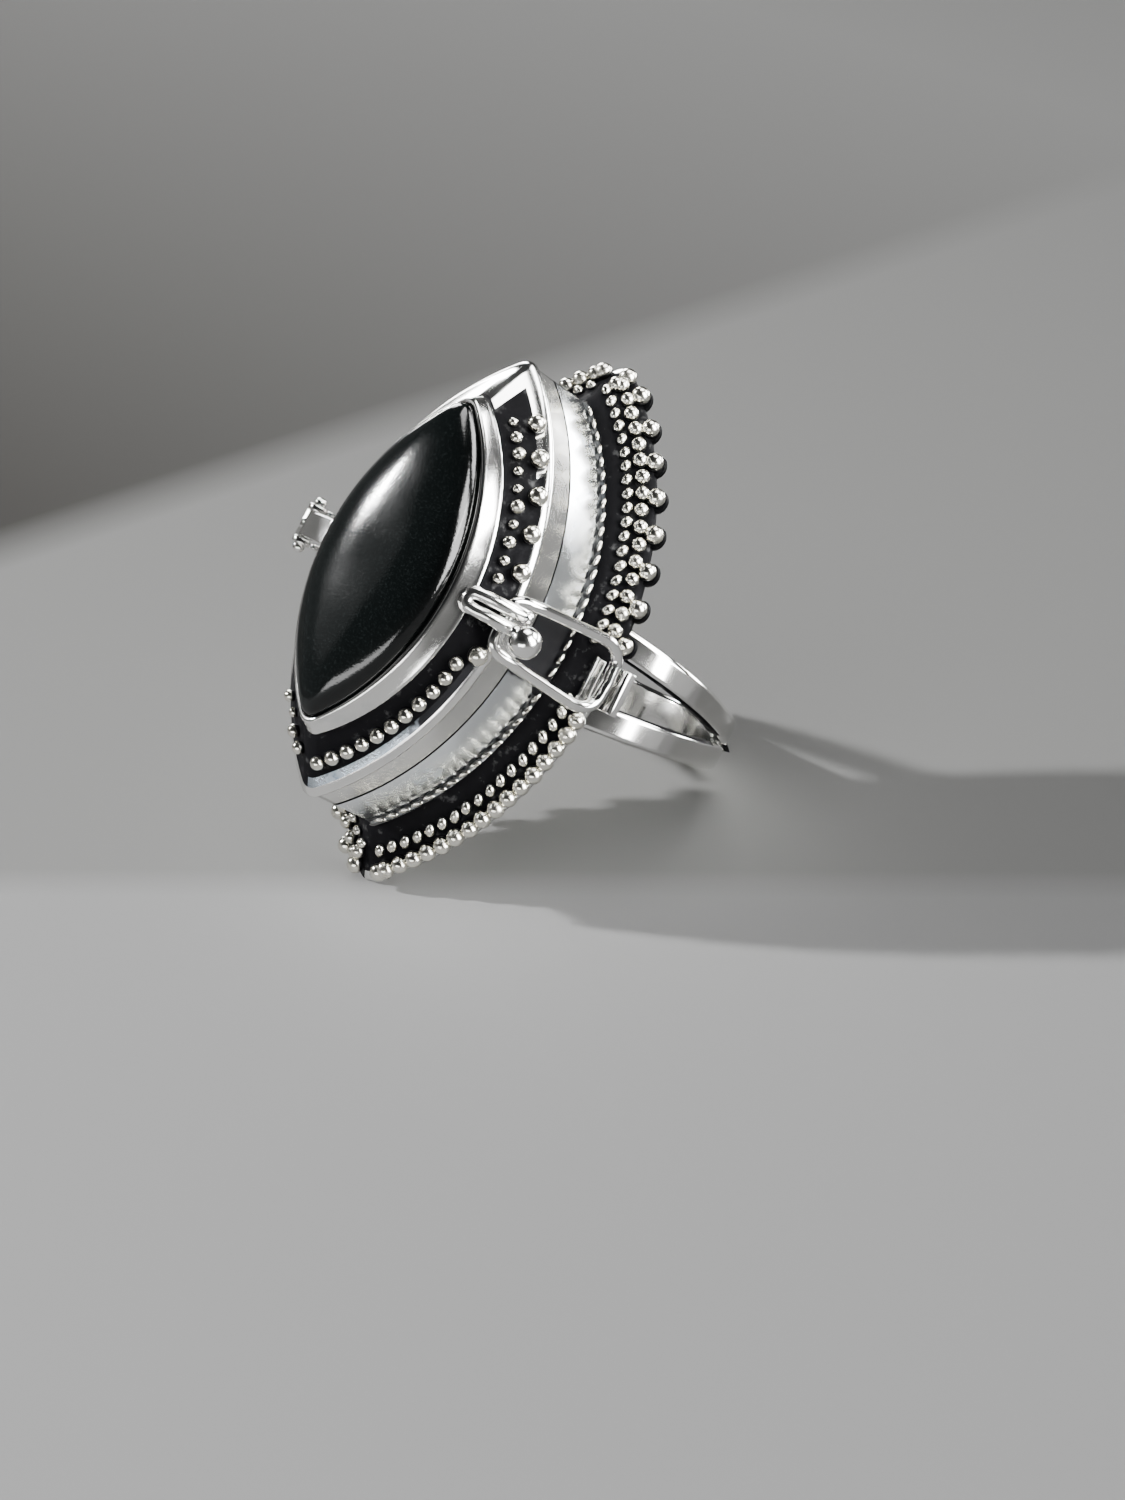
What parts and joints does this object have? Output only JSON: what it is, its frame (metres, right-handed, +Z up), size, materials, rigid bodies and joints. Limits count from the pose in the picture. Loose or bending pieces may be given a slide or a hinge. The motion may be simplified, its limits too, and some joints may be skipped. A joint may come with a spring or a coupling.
{
  "type": "poison ring",
  "caption": "Silver poison ring with a long marquise locket head, black cabochon, hinged lid, wire loop clasp, bead borders and a split shank, lying on its side",
  "frame": {"origin": "on the floor, under the middle of the lying ring", "axes": "+Z is up with the ring lying on its side, resting on the lower tip of the head and the flat underside of the shank. X runs across the finger hole: the clasp is at +X and the hinge at -X. The finger hole's axis and the head's long axis lie in the YZ plane, 51.1 degrees above +Y; the face looks towards -Y and up."},
  "size_m": [0.0206, 0.0316, 0.0294],
  "materials": {
    "silver": "polished silver with oxidised hollows",
    "onyx": "polished black onyx"
  },
  "bodies": {
    "ring": {"ring_body": "silver", "base_beads": "silver", "hinge_pin": "silver"},
    "lid": {"lid": "silver", "lid_beads": "silver", "stone": "onyx"},
    "loop": {"clasp_loop": "silver"}
  },
  "joints": [
    {"name": "lid_hinge", "type": "hinge", "parent": "ring", "child": "lid", "pos_m": [-0.0086, -0.00746, 0.01916], "axis": [0, -0.6274, -0.7787], "range_deg": [0, 110]},
    {"name": "loop_swing", "type": "hinge", "parent": "lid", "child": "loop", "pos_m": [0.00715, -0.00758, 0.01877], "axis": [0, -0.6274, -0.7787], "range_deg": [0, 100]}
  ]
}
